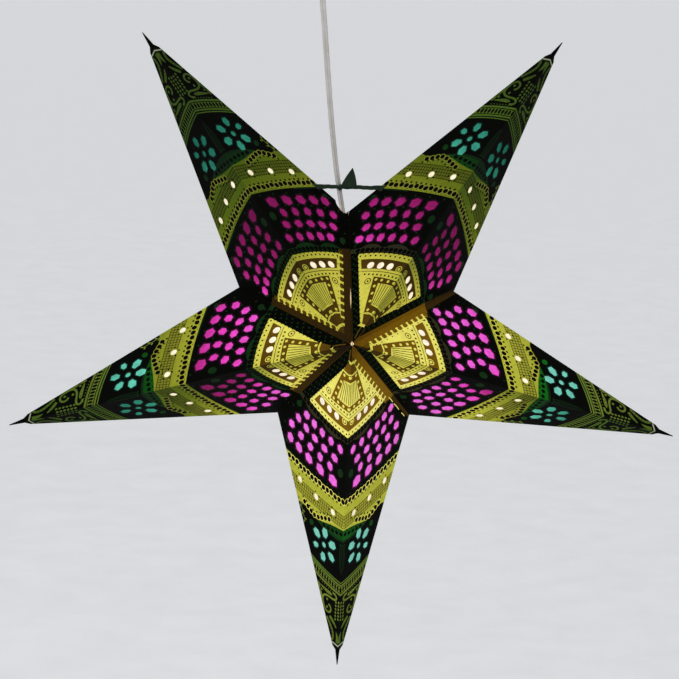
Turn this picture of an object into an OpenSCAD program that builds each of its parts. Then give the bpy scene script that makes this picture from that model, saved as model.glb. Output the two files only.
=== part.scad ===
// Five-pointed paper star lantern: folded printed cards with cut-outs, tissue behind the cut-outs,
// a ribbon tie at the open seam, and a lampholder on a flat cord from a ceiling cup.
// Front faces -Y. The origin is the middle of the ceiling cup's top face.

/* [Star] */
// Distance from the star's centre to the tip of each point
tip_r = 315; // [260:1:380]
// Distance from the star's centre to the valley between two points
valley_r = 101; // [90:1:115]
// Depth from the star's middle plane to its front apex
half_depth = 120; // [100:1:140]
// Thickness of the printed card
card_t = 0.4; // [0.3:0.05:0.7]
// Width of the glue flange along each seam
flange_w = 8; // [5:0.5:11]
// Film of glue between two flanges, and between card and tissue
glue_t = 0.1; // [0.06:0.01:0.2]
// Radius of the pinhole where the five points meet
apex_hole_r = 1.5; // [1:0.1:2.5]
// Length of the rolled needle at the end of each point
needle_len = 18; // [10:1:24]
// Radius of the rolled needle where it starts
needle_r = 2.2; // [1.5:0.1:2.6]
// Widest place of the slit in the top seam, which is tied and not glued
top_slit = 1.6; // [1:0.1:2.4]
// Gap along the rest of the top seam
top_touch = 0.4; // [0.3:0.05:0.6]

/* [Cut-outs] */
// How far behind the apex the centre of all the arched rows lies
arc_back = 60; // [54:1:66]
// Distance from the innermost row of cells in to the round holes of the inner kite
inner_hole_in = 30; // [28.5:0.25:31.5]
// Radius of the round holes in the inner kite
inner_hole_r = 3.6; // [3:0.1:4.2]
// Distance from the valley's arc in to the innermost row of magenta cells
cell_in = 35.5; // [34:0.25:37]
// Distance from one row of cells to the next
cell_pitch = 13; // [12:0.25:13.5]
// Distance from the outermost row of cells out to the round holes in the lime band
band_hole_out = 30.5; // [28:0.25:33]
// Radius of the round holes in the lime band
band_hole_r = 3.1; // [2.5:0.1:3.7]
// Distance from the round holes in the lime band out to the flower's centre
flower_out = 41.5; // [39:0.25:44]
// Angle from the ridge to the flower's centre
flower_turn = 5.5; // [5.2:0.1:5.8]
// Distance from the flower's centre to the middle of a petal
petal_ring = 13; // [12:0.25:14]
// Half length of a petal
petal_half_len = 5; // [4:0.1:5.5]
// Half width of a petal
petal_half_w = 4.4; // [3.5:0.1:4.8]
// Radius of the round hole in the flower's middle
flower_eye_r = 2.6; // [2:0.1:3.2]

/* [Tissue] */
// Thickness of the tissue
tissue_t = 0.2; // [0.15:0.05:0.4]
// How far a strip of tissue reaches past the cut-outs that it covers
tissue_lap = 3; // [2:0.25:4]

/* [Tie] */
// Height of the ribbon above the top valley
tie_rise = 22; // [16:1:30]
// Height of the gathered ribbon
ribbon_w = 4; // [3:0.5:6]
// Thickness of the ribbon
ribbon_t = 0.5; // [0.3:0.1:0.9]
// Length of ribbon tucked into each of the two upper points
ribbon_tuck = 9; // [6:1:14]
// Length of the ribbon's free tail
tail_len = 18; // [12:1:24]
// Width of the ribbon's free tail at the knot
tail_w = 14; // [9:1:16]

/* [Cord and lampholder] */
// Width of the flat two-core cord
cord_w = 5.2; // [4.4:0.1:5.6]
// Thickness of the flat two-core cord
cord_t = 2.6; // [2.2:0.1:3]
// Clearance round the cord where it passes through a piece
cord_gap = 0.3; // [0.2:0.05:0.6]
// Length of the tapered bush above the lampholder
bush_len = 22; // [20:1:30]
// Radius of the lampholder's cap and body
holder_r = 14.5; // [13.5:0.25:17]
// Height of the lampholder's cap
cap_h = 16; // [13:1:20]
// Height of the lampholder's body
body_h = 40; // [36:1:48]
// Wall of the lampholder's cap and body
holder_wall = 1.6; // [1.2:0.1:2]
// Radius of the bulb's screw base
base_r = 6.85; // [6.5:0.05:7.2]
// Radius of the bulb's globe
globe_r = 22.5; // [20:0.5:28]

/* [Ceiling cup] */
// Outer radius of the ceiling cup
cup_r = 38; // [34:0.5:50]
// Height of the ceiling cup
cup_h = 38; // [34:1:40]
// Wall of the ceiling cup
cup_wall = 1.6; // [1.2:0.1:2.4]
// Thickness of the ceiling plate
plate_t = 5; // [4.5:0.25:7]
// Distance between the plate's two screw holes
screw_spacing = 48; // [40:1:54]
// Radius of the plate's screw holes
screw_hole_r = 2.25; // [2:0.05:2.75]
// Radius of the cord grip below the cup
grip_r = 7; // [6.5:0.25:9]
// Height of the cord grip below the cup
grip_h = 18; // [16:1:20]

/* [Hidden] */
// Gap between fixed pieces that seat on each other
seat_gap = 0.1;
// Radial clearance between fixed pieces that fit in each other
fit_gap = 0.3;

// Where the star hangs below the ceiling: across and down from the origin
star_x = 29;
star_drop = 360;
POINTS = ["top_right", "right", "bottom", "left", "top_left"];
point_angle = [54, -18, -90, -162, 126];
half_angle = 36;

// Outer planes of a point, as a*|x| + b*|y| + c*z = 1, with x across, y deep and z along the point
plane_a = (1 - valley_r * cos(half_angle) / tip_r) / (valley_r * sin(half_angle));
plane_b = 1 / half_depth;
plane_c = 1 / tip_r;
plane_n = norm([plane_a, plane_b, plane_c]);

// A panel drawn flat: the apex at the origin, the ridge along x and the valley on the y side
ridge_len = norm([tip_r, half_depth]);
ridge_tilt = atan2(half_depth, tip_r);
valley_across = valley_r * sin(half_angle);
valley_deep = half_depth * cos(ridge_tilt) - valley_r * cos(half_angle) * sin(ridge_tilt);
panel_turn = atan2(valley_across, valley_deep);
valley_u = (half_depth * half_depth + tip_r * valley_r * cos(half_angle)) / ridge_len;
valley_v = norm([valley_across, valley_deep]);
valley_arc = norm([valley_u + arc_back, valley_v]);
panel_cut = 2;

// Rows of cut-outs, as angles from the ridge about the arc centre
inner_hole_turn = [6.9, 11.3, 15.7];
band_hole_turn = [3.9, 9.9, 15.9];
cell_start = [3.3, 5.4, 6.8, 5];
cell_step = [4.7, 4.85, 4.35, 5.4];
cell_tighten = [0.11, 0.13, 0, 0.24];
cell_count = [6, 5, 5, 5];
// Size of each row's first cell, and how much smaller and further out each next cell of the row is
cell_r = [4.5, 4.6, 4.5, 6.2];
cell_taper = [0, 0, 0, 0.25];
cell_flare = [0, 0, 0.2, 1];
last_row = len(cell_r) - 1;
cell_arc = valley_arc - cell_in;
last_cell_arc = cell_arc + last_row * cell_pitch;
inner_hole_arc = cell_arc - inner_hole_in;
band_hole_arc = last_cell_arc + band_hole_out;
flower_arc = band_hole_arc + flower_out;
cell_irregular = 0.12;
petal_start = 3;
petal_scale = [0.9, 0.72, 1, 1, 1, 0.95];

// Place and half length of the bow in the top seam, above the star's centre
bow_z = 33;
bow_len = 10;

// Route of the cord, [x, z] from the terminal block to inside the lampholder's cap
cord_route = [
    [0, -17.5], [0, -28], [0, -39], [0, -50], [0.3, -61], [1.2, -72], [2.5, -85], [3.8, -98],
    [5, -111], [6.2, -124], [7.4, -137], [8.7, -150], [10, -163], [11.4, -176], [12.9, -189],
    [14.5, -202], [16.3, -216], [18.4, -230], [20.9, -244], [23.4, -258], [25.7, -272],
    [27.7, -286], [29.3, -299], [30.8, -312], [32.5, -326], [33.7, -336], [34.7, -344], [35.6, -351.2]
];
// Turn of the flat cord about its own length, at the cup and at the lampholder
cord_turn = [0, 62];
cord_sides = 8;
// Where the cord enters the lampholder's bush, and how far the lampholder leans
holder_pos = [32.5, 0, -326];
holder_lean = 7;
// Notch for the cord in the upper left point, beside the top valley
notch_rise = 5;
notch_x = route_x(valley_r + notch_rise - star_drop) - star_x;
notch_r = cord_w / 2 + 3;
notch_depth = 22;

// Ribbon
tie_z = valley_r + tie_rise;
tie_half_gap = tie_rise * tip_r * sin(half_angle) / (tip_r * cos(half_angle) - valley_r);
tie_half_len = tie_half_gap + ribbon_tuck;
tie_x = route_x(tie_z - star_drop) - star_x;
loop_r = cord_w / 2 + 3 * cord_gap;
tie_y = -loop_r - ribbon_t / 2;
knot_r = 2.4;
ribbon_gap = 0.3;

// Lampholder
bush_top_r = cord_w / 2 + 1.6;
bush_r = bush_top_r + 1.2;
stem_r = bush_top_r;
stem_len = 5;
dome_r = 8;
cap_z = -bush_len - seat_gap;
body_z = cap_z - cap_h - seat_gap;
web_t = 3;
web_z = body_z - 4;
skirt_flare = 1.2;
skirt_h = 14;
sleeve_t = 0.6;
sleeve_r = base_r + fit_gap;
sleeve_z = web_z - web_t - seat_gap;
base_z = sleeve_z - sleeve_t - seat_gap;
base_h = 24;
contact_r = 2.4;
contact_h = 1.2;
sleeve_h = sleeve_t + seat_gap + contact_h + base_h - fit_gap;
neck_r = 10.3;
neck_h = 9;
globe_drop = sqrt(globe_r * globe_r - neck_r * neck_r);
globe_z = base_z - contact_h - base_h - neck_h - globe_drop;

// Ceiling cup
cup_round = 10;
cup_in_r = cup_r - cup_wall;
plate_r = cup_in_r - fit_gap;
notch_w = 9;
block_h = 12;
block_size = [20, 16, block_h - seat_gap];
stem_hole_r = cord_w / 2 + 2.5;
nut_h = 4;
nut_r = stem_hole_r + 3.5;
grip_stem_top = -cup_h + cup_wall + nut_h + 1;
pinch_z = -cup_h - grip_h * 0.55;
pinch_r = 1.5;
cup_screw_r = 1.25;
cup_screw_len = 7;
cup_screw_head_r = 2.4;
cup_screw_z = -plate_t / 2;

$fn = 64;

function route_x(z) = lookup(z, [for (p = cord_route) [p[1], p[0]]]);

// Corners of one point's five-cornered block: tip, front, back, left and right valley,
// with its panels moved in by w and its two seam faces moved in by s
function block_points(w, s) =
    let (
        room = 1 - w * plane_n,
        z0 = s / sin(half_angle),
        y0 = half_depth * (room - z0 / tip_r),
        zv = (room + plane_a * s / cos(half_angle)) / (plane_a * tan(half_angle) + plane_c),
        xv = zv * tan(half_angle) - s / cos(half_angle)
    )
    [[0, 0, room * tip_r], [0, -y0, z0], [0, y0, z0], [-xv, 0, zv], [xv, 0, zv]];

module point_block(w, s) {
    polyhedron(
        points = block_points(w, s),
        faces = [[0, 4, 1], [0, 1, 3], [0, 2, 4], [0, 3, 2], [1, 4, 2], [1, 2, 3]]
    );
}

// Place drawings: in the star, in one point, on one panel and on one seam face
module in_star() {
    translate([star_x, 0, -star_drop]) children();
}

module in_point(i) {
    in_star() rotate([0, 90 - point_angle[i], 0]) children();
}

module star_from_point(i) {
    rotate([0, point_angle[i] - 90, 0]) children();
}

module on_panel(side, face) {
    mirror([side < 0 ? 1 : 0, 0, 0]) mirror([0, face > 0 ? 1 : 0, 0])
        translate([0, -half_depth, 0]) rotate([-ridge_tilt, 0, 0])
            rotate([0, 0, -panel_turn]) rotate([0, -90, 0]) children();
}

module on_seam(side) {
    mirror([side < 0 ? 1 : 0, 0, 0]) rotate([0, half_angle - 90, 0]) children();
}

function is_top(i) = i == 0 || i == len(POINTS) - 1;

// Cut-outs of one panel, drawn flat about the arc centre
function at_arc(arc, turn) = [arc * cos(turn) - arc_back, arc * sin(turn)];

function cell_corner(row, col, k) =
    let (
        odd = 1 + cell_irregular * sin(131 * (row * 7 + col * 3 + k * 2)),
        turn = 60 * k + 15 * sin(97 * (row * 5 + col))
    )
    (cell_r[row] - col * cell_taper[row]) * odd * [cos(turn), sin(turn)];

function cell_place(row, col) = at_arc(
    cell_arc + row * cell_pitch + (col - 2) * cell_flare[row],
    cell_start[row] + col * cell_step[row] - col * col * cell_tighten[row]
);

module cell(row, col) {
    translate(cell_place(row, col)) polygon([for (k = [0:5]) cell_corner(row, col, k)]);
}

module petal(size) {
    long = petal_half_len * size;
    wide = petal_half_w * size;
    polygon([
        [-long, -wide * 0.45], [0, -wide], [long, -wide * 0.6],
        [long, wide * 0.6], [0, wide], [-long, wide * 0.45]
    ]);
}

module flower() {
    circle(flower_eye_r);
    for (k = [0:5]) rotate(petal_start + 60 * k) translate([petal_ring, 0]) petal(petal_scale[k]);
}

module panel_cutouts(side) {
    for (turn = inner_hole_turn) translate(at_arc(inner_hole_arc, turn)) circle(inner_hole_r);
    for (turn = band_hole_turn) translate(at_arc(band_hole_arc, turn)) circle(band_hole_r);
    for (row = [0:last_row])
        for (col = [0:cell_count[row] - (side > 0 && row == 0 ? 2 : 1)]) cell(row, col);
    translate(at_arc(flower_arc, flower_turn)) flower();
}

// Cuts that only the two upper points have: the gap of the top seam bows open in one place
module top_gap(extra) {
    narrow = top_touch / 2 + extra;
    bow = (top_slit - top_touch) / 2;
    edge = concat(
        [[narrow, -tip_r / 2]],
        [for (k = [-4:4]) [narrow + bow * pow(cos(22.5 * k), 2), bow_z + bow_len * k / 4]],
        [[narrow, 2 * tip_r]]
    );
    rotate([90, 0, 0]) linear_extrude(4 * half_depth, center = true)
        polygon(concat(edge, [for (k = [len(edge) - 1:-1:0]) [-edge[k][0], edge[k][1]]]));
}

module cord_notch() {
    translate([notch_x, 0, valley_r - notch_depth]) cylinder(r = notch_r, h = 3 * notch_depth);
}

module ribbon_slits() {
    slit_w = ribbon_w + 2 * ribbon_gap;
    slit_t = ribbon_t + 2 * ribbon_gap;
    slit_len = tie_half_len + ribbon_gap;
    translate([-slit_len, tie_y - slit_t / 2, tie_z - slit_w / 2]) cube([2 * slit_len, slit_t, slit_w]);
}

// Rolled needle that closes the end of a point
module needle() {
    start_z = tip_r - needle_len;
    shoulder = needle_len * 0.2;
    room = 1 - plane_n * card_t / 2 - start_z / tip_r;
    rim_x = room / plane_a;
    rim_y = room / plane_b;
    hull() {
        translate([0, 0, start_z - shoulder / 3]) linear_extrude(shoulder / 3)
            polygon([[rim_x, 0], [0, rim_y], [-rim_x, 0], [0, -rim_y]]);
        translate([0, 0, start_z + shoulder]) cylinder(r = needle_r, h = 0.1, $fn = 24);
    }
    translate([0, 0, start_z + shoulder - 1])
        cylinder(r1 = needle_r, r2 = needle_r / 6, h = needle_len - shoulder + 1);
}

module seam_window() {
    slope = half_depth / valley_r;
    inset = flange_w * norm([1, slope]);
    past = 12;
    deep = top_slit + card_t + glue_t + 2;
    translate([0, 0, -1]) linear_extrude(deep)
        polygon([
            [valley_r * (1 - inset / half_depth), 0],
            [-past, half_depth - inset + past * slope],
            [-past, inset - half_depth - past * slope]
        ]);
}

module trimmed(i, extra) {
    difference() {
        children();
        if (is_top(i)) star_from_point(i) top_gap(extra);
    }
}

// One point of the star, folded from one printed card
module card(i) {
    color("olivedrab") in_point(i) difference() {
        union() {
            difference() {
                trimmed(i, 0) point_block(0, glue_t / 2);
                trimmed(i, card_t) point_block(card_t, glue_t / 2 + card_t);
                translate([-tip_r, -tip_r, tip_r - needle_len]) cube(2 * tip_r);
            }
            needle();
        }
        for (side = [-1, 1]) {
            on_seam(side) seam_window();
            for (face = [-1, 1])
                on_panel(side, face) translate([0, 0, -panel_cut])
                    linear_extrude(2 * panel_cut) panel_cutouts(side);
        }
        rotate([90, 0, 0]) cylinder(r = apex_hole_r, h = 3 * half_depth, center = true);
        if (is_top(i)) star_from_point(i) {
            cord_notch();
            ribbon_slits();
        }
    }
}

// Strip of tissue folded round the inside of one point, between two arcs
module strip(arc_in, arc_out) {
    intersection() {
        translate([-arc_back, 0]) difference() {
            circle(arc_out);
            circle(arc_in);
        }
        polygon([[0, -panel_cut], [ridge_len + panel_cut, -panel_cut], [valley_u, valley_v + flange_w]]);
    }
}

module tissue(i, arc_in, arc_out) {
    outside = card_t + glue_t;
    clear_of_flange = top_slit / 2 + card_t + ribbon_gap;
    in_point(i) difference() {
        intersection() {
            difference() {
                point_block(outside, clear_of_flange);
                point_block(outside + tissue_t, -flange_w);
            }
            union() for (side = [-1, 1], face = [-1, 1])
                on_panel(side, face) translate([0, 0, -panel_cut])
                    linear_extrude(2 * panel_cut) strip(arc_in, arc_out);
        }
        if (is_top(i)) star_from_point(i) {
            cord_notch();
            ribbon_slits();
        }
    }
}

module inner_white_tissue(i) {
    reach = inner_hole_r + tissue_lap;
    color("ivory") tissue(i, inner_hole_arc - reach, inner_hole_arc + reach);
}

module magenta_tissue(i) {
    color("mediumvioletred") tissue(
        i,
        cell_arc - cell_r[0] - tissue_lap,
        last_cell_arc + cell_r[last_row] + tissue_lap
    );
}

module outer_white_tissue(i) {
    reach = band_hole_r + tissue_lap;
    color("ivory") tissue(i, band_hole_arc - reach, band_hole_arc + reach);
}

module turquoise_tissue(i) {
    reach = petal_ring + petal_half_len + tissue_lap;
    color("mediumturquoise") tissue(i, flower_arc - reach, flower_arc + reach);
}

// Ribbon between the two upper points, looped round the cord and knotted, with a pointed tail
module ribbon_tie() {
    color("darkgreen") in_star() difference() {
        union() {
            translate([-tie_half_len, tie_y - ribbon_t / 2, tie_z - ribbon_w / 2])
                cube([2 * tie_half_len, ribbon_t, ribbon_w]);
            translate([tie_x, 0, tie_z - ribbon_w * 0.45])
                cylinder(r = loop_r + ribbon_t, h = ribbon_w * 0.9);
            translate([tie_x + 1, tie_y - knot_r / 2, tie_z]) sphere(r = knot_r);
            translate([tie_x, tie_y - ribbon_t * 0.7, tie_z]) rotate([90, 0, 0])
                linear_extrude(ribbon_t, center = true)
                    polygon([[0, -1], [knot_r + tail_w, 0.4], [tail_w * 0.85, tail_len]]);
        }
        translate([tie_x, 0, tie_z - ribbon_w]) cylinder(r = loop_r, h = 2 * ribbon_w);
    }
}

// Flat two-core cord swept along its route
function route_dir(k) =
    let (
        a = cord_route[max(k - 1, 0)],
        b = cord_route[min(k + 1, len(cord_route) - 1)]
    )
    (b - a) / norm(b - a);

function cord_ring(k) =
    let (
        d = route_dir(k),
        turn = cord_turn[0] + (cord_turn[1] - cord_turn[0]) * k / (len(cord_route) - 1),
        p = cord_route[k]
    )
    [for (s = [0:cord_sides - 1])
        let (
            a = 360 * (s + 0.5) / cord_sides,
            across = cord_w / 2 * cos(a) / cos(180 / cord_sides),
            deep = cord_t / 2 * sin(a) / cos(180 / cord_sides),
            x = across * cos(turn) - deep * sin(turn),
            y = across * sin(turn) + deep * cos(turn)
        )
        [p[0] - x * d[1], y, p[1] + x * d[0]]];

module cord() {
    rings = len(cord_route);
    n = cord_sides;
    sides = [for (k = [0:rings - 2], s = [0:n - 1])
        [k * n + s, k * n + (s + 1) % n, (k + 1) * n + (s + 1) % n, (k + 1) * n + s]];
    ends = [[for (s = [n - 1:-1:0]) s], [for (s = [0:n - 1]) (rings - 1) * n + s]];
    color("whitesmoke") polyhedron(
        points = [for (k = [0:rings - 1]) each cord_ring(k)],
        faces = concat(sides, ends)
    );
}

// Opening for the cord, wide enough at any turn of the flat cord
module cord_bore(h) {
    cylinder(r = cord_w / 2 / cos(180 / cord_sides) + cord_gap, h = h);
}

// Lampholder and bulb, drawn downwards from the top of the bush
module in_holder() {
    translate(holder_pos) rotate([0, -holder_lean, 0]) children();
}

function arc_points(cx, cy, r, from, to, steps) =
    [for (k = [0:steps])
        let (turn = from + (to - from) * k / steps)
        [cx + r * cos(turn), cy + r * sin(turn)]];

module cord_bush() {
    color("whitesmoke") in_holder() difference() {
        rotate_extrude() polygon([
            [0, 0], [bush_top_r, 0], [bush_r, -bush_len],
            [stem_r, -bush_len], [stem_r, -bush_len - stem_len], [0, -bush_len - stem_len]
        ]);
        translate([0, 0, -bush_len - stem_len - 1]) cord_bore(bush_len + stem_len + 2);
    }
}

module lampholder_cap() {
    hole_r = stem_r + fit_gap;
    dome_x = holder_r - dome_r;
    dome_z = cap_z - dome_r;
    in_r = dome_r - holder_wall;
    color("whitesmoke") in_holder() rotate_extrude() polygon(concat(
        [[hole_r, cap_z]],
        arc_points(dome_x, dome_z, dome_r, 90, 0, 8),
        [[holder_r, cap_z - cap_h], [holder_r - holder_wall, cap_z - cap_h]],
        arc_points(dome_x, dome_z, in_r, 0, 90, 8),
        [[hole_r, cap_z - holder_wall]]
    ));
}

module lampholder_body() {
    in_r = holder_r - holder_wall;
    lip_z = body_z - body_h;
    color("whitesmoke") in_holder() rotate_extrude() polygon([
        [0, web_z], [in_r, web_z], [in_r, body_z], [holder_r, body_z],
        [holder_r, lip_z + skirt_h], [holder_r + skirt_flare, lip_z],
        [in_r + skirt_flare, lip_z], [in_r, lip_z + skirt_h],
        [in_r, web_z - web_t], [0, web_z - web_t]
    ]);
}

module lamp_sleeve() {
    color("goldenrod") in_holder() translate([0, 0, sleeve_z - sleeve_h]) difference() {
        cylinder(r = sleeve_r + sleeve_t, h = sleeve_h);
        translate([0, 0, -sleeve_t]) cylinder(r = sleeve_r, h = sleeve_h);
    }
}

module bulb() {
    neck_z = base_z - contact_h - base_h;
    from = atan2(globe_drop, neck_r);
    color("lightyellow") in_holder() rotate_extrude() polygon(concat(
        [[0, base_z], [contact_r, base_z], [contact_r, base_z - contact_h], [base_r, base_z - contact_h]],
        [[base_r, neck_z], [neck_r, neck_z - neck_h / 2]],
        arc_points(0, globe_z, globe_r, from, -90, 24)
    ));
}

// Ceiling fittings
module ceiling_plate() {
    color("white") difference() {
        translate([0, 0, -plate_t]) cylinder(r = plate_r, h = plate_t);
        for (side = [-1, 1]) {
            translate([side * screw_spacing / 2, 0, -plate_t - 1])
                cylinder(r = screw_hole_r, h = plate_t + 2);
            translate([0, 0, cup_screw_z]) rotate([-90 * side, 0, 0])
                translate([0, 0, cup_r - cup_screw_len - fit_gap])
                    cylinder(r = cup_screw_r + fit_gap / 2, h = cup_r);
        }
        rotate(45) translate([plate_r - notch_w, -notch_w / 2, -plate_t - 1])
            cube([2 * notch_w, notch_w, plate_t + 2]);
    }
}

module ceiling_cup() {
    round_x = cup_r - cup_round;
    round_z = -cup_h + cup_round;
    color("white") difference() {
        rotate_extrude() polygon(concat(
            [[cup_r, 0]],
            arc_points(round_x, round_z, cup_round, 0, -90, 10),
            [[stem_hole_r, -cup_h], [stem_hole_r, -cup_h + cup_wall]],
            arc_points(round_x, round_z, cup_round - cup_wall, -90, 0, 10),
            [[cup_in_r, 0]]
        ));
        for (side = [-1, 1])
            translate([0, 0, cup_screw_z]) rotate([-90 * side, 0, 0])
                translate([0, 0, cup_in_r - 1]) cylinder(r = cup_screw_r + fit_gap / 2, h = cup_wall + 2);
    }
}

module cup_screws() {
    head_h = 1.4;
    color("silver") for (side = [-1, 1])
        translate([0, 0, cup_screw_z]) rotate([-90 * side, 0, 0]) translate([0, 0, cup_r]) {
            translate([0, 0, -cup_screw_len]) cylinder(r = cup_screw_r, h = cup_screw_len + 1);
            translate([0, 0, seat_gap])
                cylinder(r1 = cup_screw_head_r, r2 = cup_screw_head_r * 0.8, h = head_h);
        }
}

module terminal_block() {
    color("gray") translate([0, 0, -plate_t - seat_gap - block_size[2] / 2]) difference() {
        cube(block_size, center = true);
        for (side = [-1, 1]) translate([side * block_size[0] / 4, -block_size[1] / 2, 0])
            rotate([90, 0, 0]) cylinder(r = block_size[2] / 5, h = 4, center = true);
    }
}

module cord_grip() {
    top = -cup_h - seat_gap;
    chamfer = 1.5;
    stem_in = stem_hole_r - fit_gap / 2;
    color("white") difference() {
        rotate_extrude() polygon([
            [0, grip_stem_top], [stem_in, grip_stem_top], [stem_in, top], [grip_r, top],
            [grip_r, top - grip_h + chamfer], [grip_r - chamfer, top - grip_h], [0, top - grip_h]
        ]);
        translate([0, 0, top - grip_h - 1]) cord_bore(grip_stem_top - top + grip_h + 2);
        translate([0, 0, pinch_z]) rotate([90, 0, 0]) cylinder(r = pinch_r + fit_gap / 2, h = grip_r + 1);
    }
}

module grip_nut() {
    z = -cup_h + cup_wall + seat_gap;
    color("white") translate([0, 0, z]) difference() {
        cylinder(r = nut_r, h = nut_h, $fn = 6);
        translate([0, 0, -1]) cylinder(r = stem_hole_r, h = nut_h + 2);
    }
}

module grip_screw() {
    tip_y = cord_w / 2 + 2 * cord_gap;
    color("silver") translate([0, 0, pinch_z]) rotate([90, 0, 0]) {
        translate([0, 0, tip_y]) cylinder(r = pinch_r, h = grip_r - tip_y);
        translate([0, 0, grip_r + seat_gap / 2]) cylinder(r = pinch_r * 1.6, h = 1.2);
        translate([0, 0, grip_r - 1]) cylinder(r = pinch_r, h = 1.5);
    }
}

for (i = [0:len(POINTS) - 1]) {
    card(i);
    inner_white_tissue(i);
    magenta_tissue(i);
    outer_white_tissue(i);
    turquoise_tissue(i);
}
ribbon_tie();
cord();
cord_bush();
lampholder_cap();
lampholder_body();
lamp_sleeve();
bulb();
ceiling_plate();
ceiling_cup();
cup_screws();
terminal_block();
cord_grip();
grip_nut();
grip_screw();
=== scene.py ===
import math

import bpy
import numpy as np
from mathutils import Matrix, Vector
from mathutils.geometry import delaunay_2d_cdt


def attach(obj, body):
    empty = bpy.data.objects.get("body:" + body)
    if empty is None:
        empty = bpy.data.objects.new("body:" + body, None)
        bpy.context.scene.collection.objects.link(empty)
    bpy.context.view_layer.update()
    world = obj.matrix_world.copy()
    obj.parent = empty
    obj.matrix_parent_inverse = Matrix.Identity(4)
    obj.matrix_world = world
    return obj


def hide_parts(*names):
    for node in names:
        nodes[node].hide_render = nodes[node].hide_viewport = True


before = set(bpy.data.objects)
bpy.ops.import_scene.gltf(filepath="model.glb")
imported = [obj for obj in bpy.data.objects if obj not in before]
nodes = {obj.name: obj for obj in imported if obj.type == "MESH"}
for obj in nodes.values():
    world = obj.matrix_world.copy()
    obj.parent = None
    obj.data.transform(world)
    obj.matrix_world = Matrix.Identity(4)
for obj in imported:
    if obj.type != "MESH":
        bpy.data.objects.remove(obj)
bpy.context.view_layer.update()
scene = bpy.context.scene

# Sizes and places that part.scad gives the star: centre and bulb, direction of each point, radii and half depth
MM = 0.001
STAR = Vector((29.0, 0.0, -360.0)) * MM
BULB = Vector((44.7, 0.0, -425.5)) * MM
POINTS = {"top_right": 54, "right": -18, "bottom": -90, "left": -162, "top_left": 126}
TIP_R, VALLEY_R, DEEP = 315.0, 101.0, 120.0
S36, C36 = math.sin(math.radians(36)), math.cos(math.radians(36))

# Camera: the photograph's own view of the star, in degrees, metres and pixels
VIEW_AZIMUTH, VIEW_ELEVATION, VIEW_ROLL = -2.66, 8.57, 1.45
VIEW_BACK, VIEW_ACROSS, VIEW_UP = 2.205, -0.00565, -0.01404
FOCAL_PX, FRAME_PX, SENSOR_MM = 2461.42, 679, 36


def make_camera():
    az, el, roll = (math.radians(a) for a in (VIEW_AZIMUTH, VIEW_ELEVATION, VIEW_ROLL))
    back = Vector((math.sin(az) * math.cos(el), -math.cos(az) * math.cos(el), math.sin(el)))
    right = Vector((math.cos(az), math.sin(az), 0))
    up = back.cross(right)
    across = right * math.cos(roll) + up * math.sin(roll)
    upward = up * math.cos(roll) - right * math.sin(roll)
    data = bpy.data.cameras.new("camera")
    data.sensor_width = SENSOR_MM
    data.lens = FOCAL_PX / FRAME_PX * SENSOR_MM
    data.clip_start, data.clip_end = 0.05, 500
    cam = bpy.data.objects.new("camera", data)
    scene.collection.objects.link(cam)
    spot = STAR + back * VIEW_BACK + across * VIEW_ACROSS + upward * VIEW_UP
    cam.matrix_world = Matrix((
        (across.x, upward.x, back.x, spot.x),
        (across.y, upward.y, back.y, spot.y),
        (across.z, upward.z, back.z, spot.z),
        (0, 0, 0, 1),
    ))
    scene.camera = cam


make_camera()


# Small helpers for node trees
def srgb(r, g, b):
    def lin(c):
        c /= 255
        return c / 12.92 if c <= 0.04045 else ((c + 0.055) / 1.055) ** 2.4
    return (lin(r), lin(g), lin(b), 1.0)


def new_material(name):
    mat = bpy.data.materials.new(name)
    mat.use_nodes = True
    tree = mat.node_tree
    coords = tree.nodes.new("ShaderNodeTexCoord").outputs["Object"]
    return mat, tree, tree.nodes["Principled BSDF"], coords


def node(tree, kind, **values):
    n = tree.nodes.new(kind)
    for key, value in values.items():
        setattr(n, key, value)
    return n


def noise(tree, coords, scale, detail=4.0, rough=0.6):
    n = node(tree, "ShaderNodeTexNoise")
    n.inputs["Scale"].default_value = scale
    n.inputs["Detail"].default_value = detail
    n.inputs["Roughness"].default_value = rough
    tree.links.new(coords, n.inputs["Vector"])
    return n.outputs["Fac"]


def ramp(tree, fac, stops):
    n = node(tree, "ShaderNodeValToRGB")
    e = n.color_ramp.elements
    while len(e) < len(stops):
        e.new(0.5)
    for el, (pos, colour) in zip(e, stops):
        el.position, el.color = pos, colour
    tree.links.new(fac, n.inputs["Fac"])
    return n.outputs["Color"]


def spread(tree, fac, low, high, from_low=0.3, from_high=0.7):
    n = node(tree, "ShaderNodeMapRange")
    values = {"From Min": from_low, "From Max": from_high, "To Min": low, "To Max": high}
    for key, value in values.items():
        n.inputs[key].default_value = value
    tree.links.new(fac, n.inputs["Value"])
    return n.outputs["Result"]


def scaled(tree, colour, amount):
    n = node(tree, "ShaderNodeVectorMath", operation="SCALE")
    tree.links.new(colour, n.inputs[0])
    if isinstance(amount, float):
        n.inputs["Scale"].default_value = amount
    else:
        tree.links.new(amount, n.inputs["Scale"])
    return n.outputs["Vector"]


def bump(tree, shader, height, strength, distance):
    n = node(tree, "ShaderNodeBump")
    n.inputs["Strength"].default_value = strength
    n.inputs["Distance"].default_value = distance
    tree.links.new(height, n.inputs["Height"])
    tree.links.new(n.outputs["Normal"], shader.inputs["Normal"])


# Staging: pale floor far below, pale surroundings and one soft key light
WORLD_TINT, WORLD_LIGHT, WORLD_SEEN = (0.96, 0.97, 1.0, 1.0), 0.55, 0.78
FLOOR_Z, FLOOR_HALF, FLOOR_SEEN = -1.05, 300.0, 0.23
KEY_AT, KEY_WIDE, KEY_TALL, KEY_POWER = (-1.1, -2.2, 0.9), 1.8, 1.4, 22.0


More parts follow.
